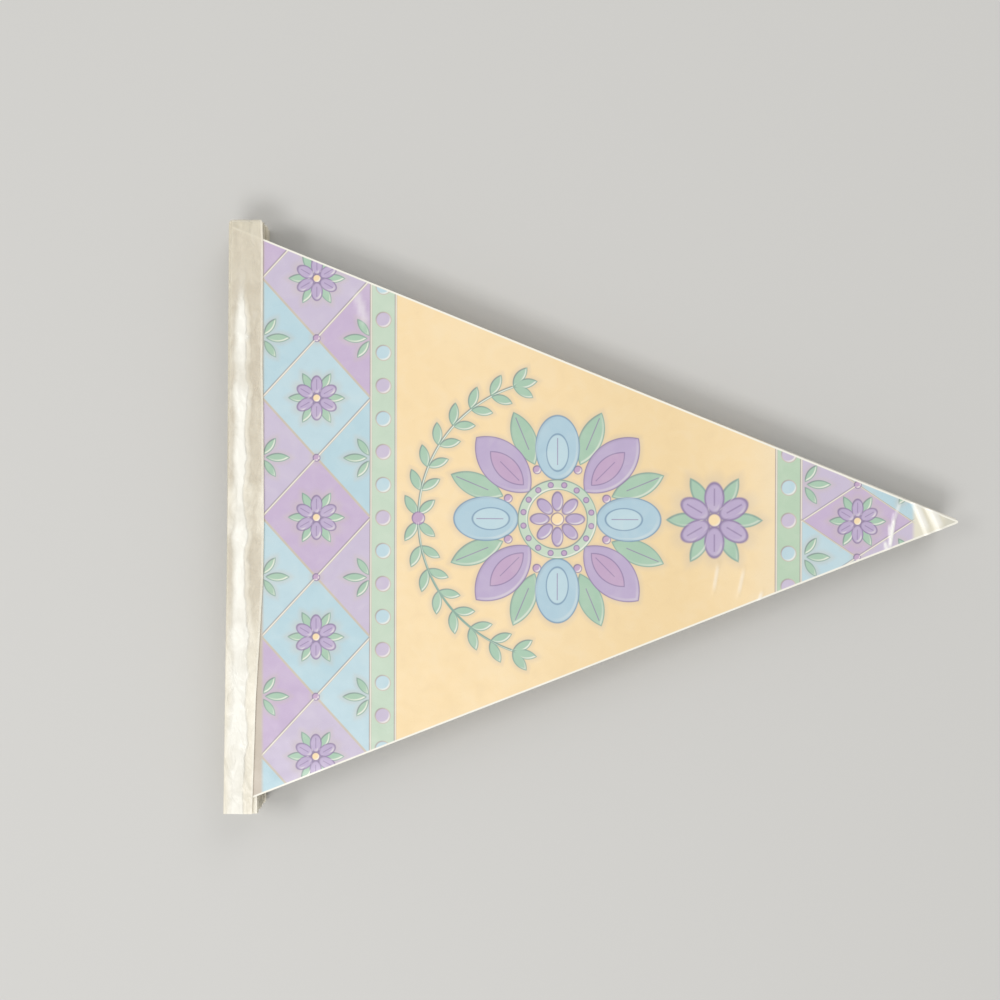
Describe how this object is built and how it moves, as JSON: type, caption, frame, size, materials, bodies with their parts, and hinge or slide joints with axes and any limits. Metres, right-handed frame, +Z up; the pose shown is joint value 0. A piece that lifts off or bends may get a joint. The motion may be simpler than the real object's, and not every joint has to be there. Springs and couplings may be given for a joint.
{
  "type": "pennant banner",
  "caption": "Folded string of triangular printed film pennants on a header tape, stacked back and forth as it comes from its bag.",
  "frame": {"origin": "bottom centre of the folded stack's bounding box", "axes": "+X from the header tape to the pennants' tips, +Y along the folded tape away from its two free ends, +Z up, out of the top pennant's printed face"},
  "size_m": [0.2826, 0.2292, 0.0205],
  "materials": {
    "printed_film": "thin white plastic film, printed on one side in pale apricot, lilac, blue and green, glossy",
    "header_tape": "milky translucent plastic film, softly wrinkled"
  },
  "bodies": {
    "root": {"header_tape": "header_tape", "pennant_01": "printed_film", "pennant_02": "printed_film", "pennant_03": "printed_film", "pennant_04": "printed_film", "pennant_05": "printed_film", "pennant_06": "printed_film", "pennant_07": "printed_film", "pennant_08": "printed_film", "pennant_09": "printed_film", "pennant_10": "printed_film", "pennant_11": "printed_film", "pennant_12": "printed_film", "pennant_13": "printed_film", "pennant_14": "printed_film", "pennant_15": "printed_film", "pennant_16": "printed_film"}
  },
  "joints": []
}
